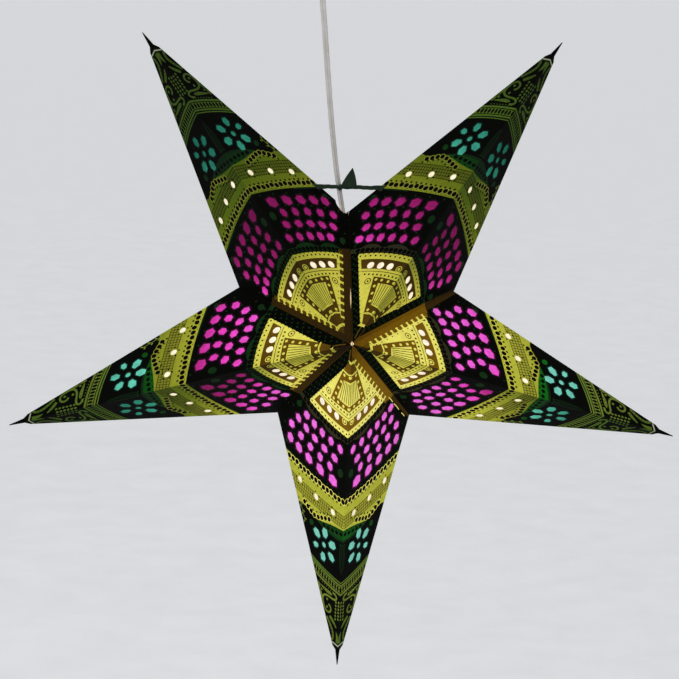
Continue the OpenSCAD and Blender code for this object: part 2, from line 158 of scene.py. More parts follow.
# One strength for the light that a surface gives, another for how it looks itself
def seen_directly(tree, light, look):
    path = node(tree, "ShaderNodeLightPath")
    total = path.outputs["Is Camera Ray"]
    for name in ("Is Glossy Ray", "Is Transmission Ray"):
        n = node(tree, "ShaderNodeMath", operation="MAXIMUM")
        tree.links.new(total, n.inputs[0])
        tree.links.new(path.outputs[name], n.inputs[1])
        total = n.outputs["Value"]
    return spread(tree, total, light, look, 0.0, 1.0)


def make_stage():
    scene.view_settings.view_transform = "Standard"
    world = bpy.data.worlds.new("studio")
    world.use_nodes = True
    tree = world.node_tree
    background = tree.nodes["Background"]
    background.inputs["Color"].default_value = WORLD_TINT
    tree.links.new(seen_directly(tree, WORLD_LIGHT, WORLD_SEEN), background.inputs["Strength"])
    scene.world = world
    corners = [(x * FLOOR_HALF, y * FLOOR_HALF, FLOOR_Z) for x, y in ((-1, -1), (1, -1), (1, 1), (-1, 1))]
    mesh = bpy.data.meshes.new("floor")
    mesh.from_pydata(corners, [], [(0, 1, 2, 3)])
    floor = bpy.data.objects.new("floor", mesh)
    scene.collection.objects.link(floor)
    mat, tree, shader, coords = new_material("floor")
    tint = ramp(tree, noise(tree, coords, 14.0), [(0.3, srgb(236, 237, 238)), (0.7, srgb(242, 243, 244))])
    tree.links.new(tint, shader.inputs["Base Color"])
    tree.links.new(tint, shader.inputs["Emission Color"])
    tree.links.new(seen_directly(tree, 0.0, FLOOR_SEEN), shader.inputs["Emission Strength"])
    shader.inputs["Roughness"].default_value = 0.9
    shader.inputs["Specular IOR Level"].default_value = 0.1
    mesh.materials.append(mat)
    data = bpy.data.lights.new("key", "AREA")
    data.shape, data.size, data.size_y, data.energy = "RECTANGLE", KEY_WIDE, KEY_TALL, KEY_POWER
    key = bpy.data.objects.new("key", data)
    scene.collection.objects.link(key)
    key.location = KEY_AT
    key.rotation_euler = (STAR - key.location).to_track_quat("-Z", "Y").to_euler()


make_stage()


# Mesh helpers
def turns(count, start=0.5):
    return [2 * math.pi * (k + start) / count for k in range(count)]


def place(obj_name, points, faces, material, smooth=True):
    mesh = bpy.data.meshes.new(obj_name)
    mesh.from_pydata([tuple(p) for p in points], [], [tuple(int(i) for i in f) for f in faces])
    mesh.materials.append(material)
    mesh.polygons.foreach_set("use_smooth", [smooth] * len(mesh.polygons))
    mesh.update()
    obj = bpy.data.objects.new(obj_name, mesh)
    scene.collection.objects.link(obj)
    return obj


def grid_faces(rows, cols, first=0, closed=False):
    last = cols if closed else cols - 1
    return [(first + r * cols + c, first + r * cols + (c + 1) % cols,
             first + (r + 1) * cols + (c + 1) % cols, first + (r + 1) * cols + c)
            for r in range(rows - 1) for c in range(last)]


# Cord: flat two-core flex along the route of its solid, from the terminal block to the lampholder
CORD_ROUTE = [
    (0, -17.5), (0, -28), (0, -39), (0, -50), (0.3, -61), (1.2, -72), (2.5, -85), (3.8, -98),
    (5, -111), (6.2, -124), (7.4, -137), (8.7, -150), (10, -163), (11.4, -176), (12.9, -189),
    (14.5, -202), (16.3, -216), (18.4, -230), (20.9, -244), (23.4, -258), (25.7, -272),
    (27.7, -286), (29.3, -299), (30.8, -312), (32.5, -326), (33.7, -336), (34.7, -344), (35.6, -351.2),
]
CORD_W, CORD_T, CORD_TURN = 5.2, 2.6, 62.0
CORD_RINGS, CORD_SIDES = 150, 28
WAIST_IN, WAIST_W = 0.42, 0.75


def cord_material():
    mat, tree, shader, coords = new_material("cord_pvc")
    cloud = noise(tree, coords, 90.0, 5.0)
    tint = ramp(tree, cloud, [(0.3, srgb(196, 192, 186)), (0.7, srgb(216, 213, 208))])
    tree.links.new(tint, shader.inputs["Base Color"])
    tree.links.new(spread(tree, noise(tree, coords, 700.0), 0.28, 0.42), shader.inputs["Roughness"])
    shader.inputs["Subsurface Weight"].default_value = 0.15
    shader.inputs["Subsurface Radius"].default_value = (0.002, 0.0018, 0.0015)
    bump(tree, shader, noise(tree, coords, 420.0, 6.0), 0.12, 0.0004)
    return mat


def make_cord():
    route = np.array(CORD_ROUTE, float)
    along = np.concatenate([[0], np.cumsum(np.linalg.norm(np.diff(route, axis=0), axis=1))])
    steps = np.linspace(0, along[-1], CORD_RINGS)
    fine = np.stack([np.interp(steps, along, route[:, k]) for k in (0, 1)], 1)
    for _ in range(6):
        fine[1:-1] = fine[1:-1] * 0.5 + (fine[:-2] + fine[2:]) * 0.25
    ahead = np.gradient(fine, axis=0)
    ahead /= np.linalg.norm(ahead, axis=1)[:, None]
    half, core = CORD_W / 2, CORD_T / 2
    section = []
    for a in turns(CORD_SIDES):
        wide = math.cos(a)
        neck = 1 - WAIST_IN * math.exp(-(wide * half / WAIST_W) ** 2)
        full = math.sqrt(max(0.0, core ** 2 - max(0.0, abs(wide) * half - (half - core)) ** 2))
        section.append((wide * half, math.copysign(full * neck, math.sin(a))))
    points = []
    for k, (p, d) in enumerate(zip(fine, ahead)):
        turn = math.radians(CORD_TURN * steps[k] / along[-1])
        for across, deep in section:
            x = across * math.cos(turn) - deep * math.sin(turn)
            y = across * math.sin(turn) + deep * math.cos(turn)
            points.append((p[0] - x * d[1], y, p[1] + x * d[0]))
    n = len(section)
    faces = grid_faces(len(fine), n, closed=True)
    faces += [tuple(range(n - 1, -1, -1)), tuple(range(len(points) - n, len(points)))]
    cord = place("flex", np.array(points) * MM, faces, cord_material())
    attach(cord, "root")
    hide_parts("cord")


make_cord()


# Ribbon: a gathered strip between the two upper points, a loop round the cord, a knot and a pointed tail
def ribbon_material():
    mat, tree, shader, coords = new_material("ribbon_satin")
    weave = []
    for axis in ("X", "Z"):
        wave = node(tree, "ShaderNodeTexWave", wave_type="BANDS", bands_direction=axis)
        wave.inputs["Scale"].default_value = 900.0
        wave.inputs["Distortion"].default_value = 0.6
        tree.links.new(coords, wave.inputs["Vector"])
        weave.append(wave.outputs["Fac"])
    cross = node(tree, "ShaderNodeMath", operation="MULTIPLY")
    tree.links.new(weave[0], cross.inputs[0])
    tree.links.new(weave[1], cross.inputs[1])
    tint = ramp(tree, noise(tree, coords, 160.0, 5.0), [(0.3, srgb(9, 30, 13)), (0.7, srgb(17, 48, 24))])
    thread = cross.outputs["Value"]
    tint = scaled(tree, tint, spread(tree, thread, 0.75, 1.2, 0.0, 1.0))
    tree.links.new(tint, shader.inputs["Base Color"])
    tree.links.new(spread(tree, thread, 0.62, 0.44, 0.0, 1.0), shader.inputs["Roughness"])
    shader.inputs["Specular IOR Level"].default_value = 0.2
    shader.inputs["Sheen Weight"].default_value = 0.15
    bump(tree, shader, thread, 0.4, 0.0002)
    return mat


# Where the knot sits, half the strip's length and of what is free between the cards, radius of the cord's loop
TIE = Vector((19.65, -3.75, -237.0))
STRIP_HALF, FREE_HALF, LOOP_R = 35.3, 25.5, 3.82
# Turns of the knot: lean, depth, height and width
KNOT = ((0.0, 1.35, 2.4, 1.5), (0.62, 1.6, 2.1, 1.1))
TAIL_LEFT, TAIL_RIGHT, TAIL_TIP = np.array((0.5, -0.9)), np.array((15.9, 0.3)), np.array((11.7, 17.6))


# Height at one turn of a flattened oval
def oval(reach, turn):
    return math.copysign(reach * abs(math.sin(turn)) ** 0.55, math.sin(turn))


def make_ribbon():
    points, faces = [], []

    def loft(rings, wrap):
        first, n, m = len(points), len(rings), len(rings[0])
        points.extend(p for ring in rings for p in ring)
        for r in range(n if wrap else n - 1):
            for c in range(m):
                faces.append((first + r * m + c, first + r * m + (c + 1) % m,
                              first + (r + 1) % n * m + (c + 1) % m, first + (r + 1) % n * m + c))
        if not wrap:
            faces.append(tuple(first + c for c in reversed(range(m))))
            faces.append(tuple(first + (n - 1) * m + c for c in range(m)))

    # strip folded on itself lengthwise, drawn in at the knot
    rings = []
    for x in np.linspace(-STRIP_HALF, STRIP_HALF, 90):
        free = min(1.0, max(0.0, (FREE_HALF - abs(x)) / 6))
        knot = math.exp(-((x - TIE.x + 28.0) / 3.4) ** 2)
        tall, thick = 2.2 - 0.35 * free - 0.7 * knot, 0.4 - 0.2 * free + 0.12 * knot
        sway = free * (0.22 * math.sin(0.26 * x) + 0.1 * math.sin(0.9 * x))
        ring = []
        for a in turns(16):
            z = tall * math.cos(a)
            y = oval(thick, a)
            y += free * (0.16 * math.sin(2.3 * z + 0.45 * x) + 0.2 * math.sin(0.31 * x + 1))
            ring.append((29 + x, TIE.y + y, TIE.z + z + sway))
        rings.append(ring)
    loft(rings, False)

    # loop round the cord
    rings = []
    for a in turns(44, 0):
        ring = []
        for b in turns(12):
            r = LOOP_R + oval(0.17, b)
            z = 1.6 * math.cos(b) + 0.28 * math.sin(2 * a + 0.6) + 0.12 * math.sin(5 * a)
            ring.append((TIE.x + r * math.cos(a), r * math.sin(a), TIE.z + z))
        rings.append(ring)
    loft(rings, True)

    # knot: two turns crossing over the strip
    for lean, deep, tall, wide in KNOT:
        rings = []
        for a in turns(36, 0):
            ring = []
            for b in turns(12):
                out = 1 + oval(0.11, b) + 0.05 * math.sin(3 * a)
                x = wide * math.cos(b) * (1 + 0.22 * math.cos(a))
                z = tall * out * math.sin(a)
                y = deep * out * math.cos(a)
                ring.append((TIE.x + 1.1 + x * math.cos(lean) - z * math.sin(lean), TIE.y - 0.75 - y,
                             TIE.z + x * math.sin(lean) + z * math.cos(lean)))
            rings.append(ring)
        loft(rings, True)

    # pointed tail, waved and creased
    rings = []
    for s in np.linspace(0, 0.975, 30):
        belly = math.sin(math.pi * s)
        a = TAIL_LEFT + (TAIL_TIP - TAIL_LEFT) * s + np.array((-0.9, 0.9)) * belly * 0.5
        b = TAIL_RIGHT + (TAIL_TIP - TAIL_RIGHT) * s + np.array((0.7, 0.3)) * belly
        front, rear = [], []
        for t in np.linspace(0, 1, 11):
            p = a + (b - a) * t
            y = TIE.y - 0.62 - 0.34 * math.sin(6.0 * t + 2.2 * s) * (0.35 + 0.65 * s) - 0.5 * s * s
            front.append((TIE.x + p[0], y - 0.09, TIE.z + p[1]))
            rear.append((TIE.x + p[0], y + 0.09, TIE.z + p[1]))
        rings.append(front + rear[::-1])
    loft(rings, False)

    ribbon = place("ribbon", np.array(points) * MM, faces, ribbon_material())
    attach(ribbon, "root")
    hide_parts("ribbon_tie")


make_ribbon()


# Colour by the distance in mm that the bulb's light covers. Where it meets the paper at a slant, up to the given
# cosine, the distance counts as longer.
LIGHT_NEAR, LIGHT_FAR = 60, 360
SLANT_LONGER, SLANT_FROM = 1.4, 0.5


def bulb_light(tree, coords, stops, slant=True):
    ray = node(tree, "ShaderNodeVectorMath", operation="SUBTRACT")
    tree.links.new(coords, ray.inputs[0])
    ray.inputs[1].default_value = BULB
    away = node(tree, "ShaderNodeVectorMath", operation="LENGTH")
    tree.links.new(ray.outputs["Vector"], away.inputs[0])
    away = away.outputs["Value"]
    if slant:
        unit = node(tree, "ShaderNodeVectorMath", operation="NORMALIZE")
        tree.links.new(ray.outputs["Vector"], unit.inputs[0])
        facing = node(tree, "ShaderNodeVectorMath", operation="DOT_PRODUCT")
        tree.links.new(unit.outputs["Vector"], facing.inputs[0])
        tree.links.new(node(tree, "ShaderNodeNewGeometry").outputs["True Normal"], facing.inputs[1])
        longer = node(tree, "ShaderNodeMath", operation="MULTIPLY")
        tree.links.new(away, longer.inputs[0])
        tree.links.new(spread(tree, facing.outputs["Value"], SLANT_LONGER, 1.0, 0.0, SLANT_FROM), longer.inputs[1])
        away = longer.outputs["Value"]
    reach = spread(tree, away, 0.0, 1.0, LIGHT_NEAR * MM, LIGHT_FAR * MM)
    return ramp(tree, reach, [((d - LIGHT_NEAR) / (LIGHT_FAR - LIGHT_NEAR), srgb(*c)) for d, c in stops])


# Paper lit from inside, over mottled fibres
PAPER_GRAIN = 1500.0


def lit_paper(name, stops, base=0.5, glow=0.55, mottle=0.16, fibre=260.0, rough=0.8, slant=True):
    mat, tree, shader, coords = new_material(name)
    colour = bulb_light(tree, coords, stops, slant)
    fine = noise(tree, coords, fibre, 6.0, 0.7)
    colour = scaled(tree, colour, spread(tree, fine, 1 - mottle, 1 + mottle))
    tree.links.new(scaled(tree, colour, base), shader.inputs["Base Color"])
    tree.links.new(colour, shader.inputs["Emission Color"])
    shader.inputs["Emission Strength"].default_value = glow
    shader.inputs["Roughness"].default_value = rough
    shader.inputs["Specular IOR Level"].default_value = 0.05
    bump(tree, shader, noise(tree, coords, PAPER_GRAIN, 5.0), 0.25, 0.0002)
    return mat


# Dense ink that lets little light through
def dense_ink(name, dark, light, rough=0.7):
    mat, tree, shader, coords = new_material(name)
    patches = noise(tree, coords, 120.0, 6.0, 0.7)
    colour = ramp(tree, patches, [(0.35, srgb(*dark)), (0.7, srgb(*light))])
    tree.links.new(colour, shader.inputs["Base Color"])
    tree.links.new(spread(tree, patches, rough - 0.1, rough + 0.1), shader.inputs["Roughness"])
    shader.inputs["Specular IOR Level"].default_value = 0.02
    bump(tree, shader, noise(tree, coords, PAPER_GRAIN, 5.0), 0.25, 0.0002)
    return mat


# Inks of the print: colour at each distance from the bulb
INKS = {
    "yellow": lit_paper("ink_yellow", [
        (70, (252, 243, 124)), (115, (244, 235, 106)), (130, (220, 212, 84)), (150, (194, 188, 68)),
        (170, (162, 161, 54)), (200, (128, 132, 46))]),
    "lime": lit_paper("ink_lime", [
        (90, (180, 182, 58)), (146, (186, 188, 60)), (176, (146, 150, 40)), (213, (98, 110, 22)),
        (240, (84, 100, 17)), (290, (62, 82, 14))]),
    "moss": lit_paper("ink_moss", [
        (90, (164, 164, 54)), (146, (168, 168, 54)), (176, (132, 134, 37)), (213, (88, 98, 20)),
        (240, (76, 89, 16)), (290, (56, 73, 13))]),
    "olive": lit_paper("ink_olive", [
        (160, (108, 122, 46)), (210, (110, 128, 46)), (245, (92, 110, 36)), (300, (72, 96, 28)),
        (350, (56, 76, 24))]),
    "brown": lit_paper("ink_brown", [
        (70, (128, 94, 12)), (110, (118, 86, 10)), (135, (80, 58, 8)), (150, (64, 46, 8)),
        (200, (36, 26, 6))]),
    "gold": lit_paper("ink_gold", [
        (70, (126, 94, 16)), (110, (120, 86, 8)), (150, (92, 64, 6)), (200, (58, 40, 6))]),
    "umber": lit_paper("ink_umber", [
        (70, (60, 42, 8)), (120, (52, 36, 6)), (160, (34, 22, 6)), (200, (24, 14, 7))]),
    "slate": lit_paper("ink_slate", [
        (90, (50, 46, 26)), (150, (40, 40, 24)), (220, (26, 30, 20))]),
    "green": lit_paper("ink_green", [
        (100, (16, 46, 16)), (160, (12, 40, 12)), (220, (10, 34, 12)), (300, (8, 28, 12))]),
    "bright": lit_paper("ink_bright", [
        (120, (14, 56, 18)), (165, (12, 100, 20)), (200, (10, 66, 14)), (250, (10, 46, 12)),
        (300, (8, 30, 10))]),
    "plum": lit_paper("ink_plum", [
        (80, (90, 10, 70)), (130, (66, 6, 50)), (180, (42, 5, 30)), (240, (28, 3, 20))]),
    "dusk": lit_paper("ink_dusk", [
        (80, (36, 5, 28)), (130, (26, 4, 20)), (180, (17, 4, 13)), (240, (12, 3, 9))]),
    "teal": lit_paper("ink_teal", [
        (130, (18, 58, 50)), (200, (11, 44, 38)), (300, (6, 26, 22))]),
    "pale": lit_paper("ink_pale", [
        (200, (206, 208, 176)), (260, (176, 182, 150)), (350, (132, 140, 112))]),
    "black": dense_ink("ink_black", (2, 3, 1), (6, 8, 4)),
}
CARD_INSIDE = lit_paper("card_inside", [
    (60, (255, 246, 214)), (120, (255, 238, 190)), (200, (214, 196, 140)), (340, (130, 116, 78))],
    glow=0.95, fibre=180.0, slant=False)
CARD_EDGE = lit_paper("card_edge", [
    (60, (104, 78, 58)), (140, (70, 48, 36)), (240, (38, 28, 22)), (340, (24, 20, 16))], fibre=400.0)
INK_ORDER = list(INKS)


# Printed ornament of one panel, drawn flat in mm: u along the ridge from the apex, v towards the valley. The arcs of
# the print turn about a point behind the apex, and p and q count along and away from the seam.
ARC_BACK = 60.0
RIDGE = math.hypot(TIP_R, DEEP)
VALLEY_U = (DEEP * DEEP + TIP_R * VALLEY_R * C36) / RIDGE
VALLEY_V = math.sqrt(VALLEY_R ** 2 + DEEP ** 2 - VALLEY_U ** 2)
SEAM = math.atan2(VALLEY_V, VALLEY_U)
EDGE = math.atan2(VALLEY_V, RIDGE - VALLEY_U)


def pol(rho, phi):
    a = math.radians(phi)
    return (rho * math.cos(a) - ARC_BACK, rho * math.sin(a))


def by_seam(p, q):
    return (p * math.cos(SEAM) + q * math.sin(SEAM), p * math.sin(SEAM) - q * math.cos(SEAM))


def from_seam(u, v):
    return u * math.sin(SEAM) - v * math.cos(SEAM)


def from_edge(u, v):
    return (RIDGE - u) * math.sin(EDGE) - v * math.cos(EDGE)


def by_edge(u, inset):
    return (u, ((RIDGE - u) * math.sin(EDGE) - inset) / math.cos(EDGE))


def turn_at_seam(rho, q):
    low, high = 0.0, 60.0
    for _ in range(40):
        mid = (low + high) / 2
        if from_seam(*pol(rho, mid)) > q:
            low = mid
        else:
            high = mid
    return low


# Even curve through a few points
def smooth(points, fine=5):
    p = np.array(points, float)
    p = np.concatenate([[2 * p[0] - p[1]], p, [2 * p[-1] - p[-2]]])
    out = []
    for a, b, c, d in zip(p, p[1:], p[2:], p[3:]):
        for t in np.arange(fine) / fine:
            bend = (2 * a - 5 * b + 4 * c - d) * t ** 2 + (3 * b - a - 3 * c + d) * t ** 3
            out.append((2 * b + (c - a) * t + bend) / 2)
    return out + [p[-2]]


# Shapes of one print, each an ink and an outline, in the order of printing
class Print:
    def __init__(self):
        self.shapes = []

    def add(self, ink, points):
        self.shapes.append((INK_ORDER.index(ink), np.array(points, float)))

    def inside(self, u, v, seam=0.5, edge=0.5):
        return v > -0.5 and from_seam(u, v) > seam and from_edge(u, v) > edge

    def band(self, ink, r0, r1, a0=-1.0, a1=34.0, step=2.0):
        n = max(2, int((a1 - a0) / step))
        along = [a0 + (a1 - a0) * k / n for k in range(n + 1)]
        self.add(ink, [pol(r0, a) for a in along] + [pol(r1, a) for a in reversed(along)])

    def kite(self, ink, q, rho, start):
        end = turn_at_seam(rho, q)
        n = max(4, int(end / 1.5))
        arc = [pol(rho, -1 + (end + 1) * k / n) for k in range(n + 1)]
        self.add(ink, start + arc[::-1])

    def dot(self, ink, c, r, n=8, long=1.0, turn=0.0, seam=0.5, edge=0.5):
        if not self.inside(*c, seam, edge):
            return
        t = math.radians(turn)
        pts = []
        for a in turns(n, 0.37):
            x, y = r * long * math.cos(a), r * math.sin(a)
            pts.append((c[0] + x * math.cos(t) - y * math.sin(t), c[1] + x * math.sin(t) + y * math.cos(t)))
        self.add(ink, pts)

    def dots(self, ink, places, r, n=8, **more):
        for c in places:
            self.dot(ink, c, r, n, **more)

    def stroke(self, ink, points, w, taper=False):
        p = np.array(points, float)
        d = np.gradient(p, axis=0)
        d /= np.linalg.norm(d, axis=1)[:, None]
        side = np.stack([-d[:, 1], d[:, 0]], 1)
        half = np.full(len(p), w / 2)
        if taper:
            half *= 0.35 + 0.65 * np.sin(np.linspace(0.25, 1, len(p)) * math.pi)
        self.add(ink, np.concatenate([p + side * half[:, None], (p - side * half[:, None])[::-1]]))

    def rings(self, c, radii, inks):
        for r, ink in zip(radii, inks):
            self.dot(ink, c, r, 14, seam=-2, edge=-2)


# Strip beside the seam, and the border that the kite has along it
KITE_R = 153.8
TOOTH = ((-2.5, 0.6), (-1.2, -1.0), (-1.0, -2.4), (-1.7, -3.9), (1.7, -3.9), (1.0, -2.4), (1.2, -1.0), (2.5, 0.6))
TOOTH_STEP, NICK_STEP = 7.4, 4.9


def draw_border(art, strip, toothed, q):
    corner = pol(KITE_R, turn_at_seam(KITE_R, q))
    last = corner[0] * math.cos(SEAM) + corner[1] * math.sin(SEAM)
    if toothed:
        art.add(strip, [by_seam(-4, -2), by_seam(112, -2), by_seam(107, q - 3), by_seam(-4, q - 3)])
        art.add("brown", [by_seam(-4, q - 3.2), by_seam(106, q - 3.2), by_seam(104, q + 1), by_seam(-4, q + 1)])
    else:
        edge = 4.0 if strip == "gold" else 0.9
        art.add(strip, [by_seam(-4, -2), by_seam(112, -2), by_seam(109, edge), by_seam(-4, edge)])
        for k in range(36):
            c = by_seam(10 + 2.9 * k, edge + 0.9 + (q - edge - 2) * (k * 0.618 % 1))
            art.dot("green", c, 0.75, 6, long=1.9, turn=40 * k)
        art.stroke("brown", [(6, 1.6), (12, 2.6), (18.6, 3.0)], 1.5)
    # A gold strip goes on in darker umber further along the seam: painted dimming of its light
    if strip == "gold":
        art.add("umber", [by_seam(112, -2), by_seam(172, -2), by_seam(172, 2.2), by_seam(109, 4.2)])
    first = (20 - q * math.sin(SEAM)) / math.cos(SEAM)
    art.kite("yellow", q, KITE_R, [(18.2, -2), (17.8, by_seam(first, q)[1] + 1.6), by_seam(first, q)])
    n = int((last - first - 3) / (TOOTH_STEP if toothed else NICK_STEP))
    step = (last - first - 3) / n
    for k in range(n + 1):
        p = first + 1.5 + step * k
        if toothed:
            art.add("yellow", [by_seam(p + a, q + b) for a, b in TOOTH])
            art.dot("black", by_seam(p + step / 2, q + 1.7), 0.75, 6)
        else:
            art.add("black", [by_seam(p - 0.9, q - 0.4), by_seam(p + 0.9, q - 0.4), by_seam(p + 0.2, q + 1.2)])


# Kite round the apex: rim, strip of holes, dotted frame, fan and collar
FRAME_DOTS = ((34, 1), (34.6, 8.6), (43, 12.6), (50.5, 16), (57.6, 19), (64, 22), (65, 15.6), (65.5, 8), (65.5, 1))


def draw_kite(art, q):
    end = turn_at_seam(153.4, q + 1)
    n = int(end * 153.4 / 57.3 / 5.5)
    for k in range(n + 1):
        art.dot("black", pol(150.9, 0.8 + (end - 1.6) * k / n), 1.0, 8)
        art.dot("black", pol(153.9, 0.8 + (end - 1.6) * (k + 0.5) / n), 1.15, 3, long=1.5)
    art.kite("brown", q + 2.8, 147.3, [(30, -2), by_seam(20, q + 2.8)])
    art.kite("yellow", q + 2.2, 136.8, [(28, -2), by_seam(20, q + 2.2)])
    line = turn_at_seam(134.2, q + 2)
    art.stroke("brown", [pol(134.2, -1 + (line + 1) * k / 14) for k in range(15)], 0.7)
    art.dots("black", [pol(130.9, 1.0 + 1.95 * k) for k in range(24)], 1.05, 8, seam=q + 2.6)
    art.add("brown", [(30.4, -2), (31, 10.6), (48, 18.6), (66, 26.4), (67.4, 18), (68, 9), (68.2, -2)])
    art.dots("yellow", FRAME_DOTS, 1.5, 10)
    art.add("yellow", [(38.5, -2), (40, 9.3), (61.2, 17.2), (62.4, 8), (62.6, -2)])
    for k in range(6):
        slope = math.tan(math.radians(1.4 + 3.1 * k))
        run = [(u, (u - 5) * slope) for u in np.linspace(40.4, 61.6, 8)]
        run = [c for c in run if c[1] < 9.3 + (c[0] - 40) * 0.373 - 0.5]
        if len(run) > 2:
            art.stroke("umber", run, 0.75)
    art.add("brown", [(20.4, -2), (20.7, min(4.6, by_seam(22, q)[1])), (30.2, 10.2), (31, -2)])
    art.stroke("yellow", [(30.4, -1.5), (31.8, 2.6), (31.8, 6.6), (30, 11)], 1.3)
    art.rings((60, 29.4), (4.3, 3.4, 2.5, 1.0), ("yellow", "brown", "yellow", "black"))
    art.rings((79.5, 5.6), (3.4, 2.5, 1.5), ("yellow", "brown", "yellow"))


# Bead chain and crescents outside the kite, and the field round the cells
def draw_field(art, crescent):
    art.band(crescent, 155.2, 160.2)
    art.dots("black", [pol(157.6, 0.9 + 1.86 * k) for k in range(20)], 2.45, 9, seam=6)
    for a0, a1 in ((3.6, 12.6), (14.8, 22.2)):
        inner, outer = [], []
        for k in range(9):
            turn, swell = a0 + (a1 - a0) * k / 8, math.sin(math.pi * k / 8)
            inner.append(pol(159.6 + 0.4 * swell, turn))
            outer.append(pol(160.4 + 3.4 * swell ** 0.6, turn))
        art.add(crescent, inner + outer[::-1])
    for row in range(5):
        for col in range(7):
            c = pol(165.6 + 12.6 * row, 2.4 + 4.4 * col + (2.0 if row % 2 else 0))
            art.dot("green", c, 0.9, 6, long=1.4, turn=30 * col, seam=4, edge=3)
    art.dot("green", (134, 8), 3.8, 10, long=1.2, turn=20)
    art.dot("green", by_seam(117, 7.5), 3.2, 9, long=1.3, turn=60)
    art.dot("green", (140.0, 86.0), 2.4, 8, long=1.3, turn=100, edge=1)


# Lime band with two rows of lace beads, a hatched strip and the green wedge beside it. off counts outwards from the
# band's inner edge.
LIME_OUTER = ((190, -2), (192, 10), (194, 20), (197, 30), (199, 41), (197.4, 48), (194, 56), (193, 62), (196, 72))
OUTER_BEADS = ((189.5, 21), (191.5, 26.4), (193.6, 31.6), (195.6, 36.8), (196.4, 42.4), (194.8, 47.4), (192.4, 52.4),
               (190.2, 57.6))
WEDGE = ((190, -2), (200.6, -2), (202.4, 10), (202.2, 26), (199.4, 40.4), (197, 30), (194, 20), (192, 10))
WEDGE_RIM = ((200.6, -2), (203.2, -2), (204.8, 10), (204.4, 24), (199.6, 40), (202.2, 26), (202.4, 10))
WEDGE_DOTS = ((195.6, 3.2), (197.2, 9.4), (198.4, 15.6), (199.2, 21.8), (199.4, 28))
HATCH_FROM, HATCH_TO = 16.6, 29.6


def draw_lime(art, spiky):
    def at(off, v):
        return (math.sqrt(409.0 ** 2 - v * v) - 250 + off, v)

    def stripe(ink, off0, off1, side):
        art.add(ink, [at(off0, v) for v in side] + [at(off1, v) for v in reversed(side)])
    side = [-2 + 4 * k for k in range(24)]
    stripe("green", -1.6, 0.2, side[14:])
    art.add("lime", [at(0, v) for v in side] + list(LIME_OUTER[::-1]))
    stripe("moss", HATCH_FROM, HATCH_TO, side)
    off, r = (2.7, 2.65) if spiky else (4.9, 2.5)
    for k in range(15):
        v = 2.6 + 5.7 * k
        for ink, size in (("yellow", r + 0.7), ("black", r)):
            art.dot(ink, at(off + 0.5 * (k % 3 - 1), v), size, 9, long=1.1, turn=50 * k, edge=1.5)
        art.dot("black", at(off + 4.0, v + 2.7), 1.2, 7, edge=1.5)
        art.dot("black", at(1.6, v + 2.8), 0.55, 6, edge=1.5)
    for border in (HATCH_FROM, HATCH_TO):
        for k in range(44):
            v = 0.6 + 1.9 * k
            if art.inside(*at(border, v), edge=1.2):
                stripe("black", border - 0.5, border + 0.5, [v, v + 1.4])
    for line in (19.9, 23.1, 26.3):
        stripe("umber", line - 0.28, line + 0.28, side)
    for k in range(28):
        v = 0.8 + 3.0 * k
        art.add("umber", [at(17.4, v), at(17.4, v + 0.6), at(28.8, v + 2.4), at(28.8, v + 1.8)])
    art.dots("yellow", OUTER_BEADS, 3.0, 9, long=1.1, turn=30, edge=1)
    art.dots("black", OUTER_BEADS, 2.4, 9, long=1.1, turn=30, edge=1)
    art.dots("black", [(u - 4.2, v + 2.4) for u, v in OUTER_BEADS], 1.1, 7, edge=1)
    art.add("bright", WEDGE)
    art.add("green", WEDGE_RIM)
    art.dots("black", WEDGE_DOTS, 2.0, 9, long=1.2, turn=80)
    art.dots("black", [(192.4, 5.6), (194.2, 13), (196, 20.4)], 0.9, 7)


# Round the flower: spear on the ridge, leaf, corner sprig, and the crescent before the ladder
SICKLE = ((248.2, 8), (249.4, 18), (248.6, 28), (246, 38), (240.4, 48), (242.6, 38), (245.4, 28), (247, 18))


def draw_flower(art, sprig):
    art.stroke("green", [(207, 3.2), (214, 3.9), (224, 3.6), (236, 1.8)], 0.9, True)
    art.stroke("green", [(206, 0.8), (216, 1.6), (228, 1.6), (238, 0.6)], 1.2, True)
    art.stroke("green", [(206.4, -1), (206.8, 4.6)], 1.2)
    art.dot("bright", (206.2, 46.4), 2.9, 10, long=1.15, turn=40)
    if sprig:
        art.stroke("olive", [by_edge(u, 3.4) for u in range(190, 213, 4)], 0.7)
        for k in range(7):
            inset, turn = (5.2, -62) if k % 2 else (1.9, 8)
            art.dot("olive", by_edge(190.6 + 3.4 * k, inset), 0.95, 7, long=1.7, turn=turn)
    art.add("bright", SICKLE)


# Ladder band, and towards the tip a scroll, a lattice of dots, a leaf, a beaded branch, a wedge and a pale bar
LADDER = (("olive", 246.6, 247.6), ("olive", 249.2, 261), ("black", 250.8, 251.8), ("black", 257.9, 258.9))
LOBE = ((264.6, 14.4), (266.4, 11.4), (267.8, 14), (268, 19), (266.6, 24.6), (265, 29.6), (264, 30))
SCROLL = (
    (263.4, 11), (264, 7.4), (266, 5.4), (268.8, 6.6), (270.2, 10.4), (270.4, 15), (271, 20), (273.2, 24),
    (277, 25.2), (281.4, 24.2), (285.6, 22), (287.8, 18.4), (286.8, 14.6), (283.6, 12.8), (280.4, 13.8), (279, 16.6))
BRANCH = ((293.6, 18.6), (297.4, 14.6), (302, 10.8), (306.6, 8.4), (311, 8.2), (314.6, 9.6))
BRANCH_DOTS = ((296, 16), (298.6, 13.6), (301.4, 11.3), (304.4, 9.5), (307.4, 8.3), (310.4, 8.2))


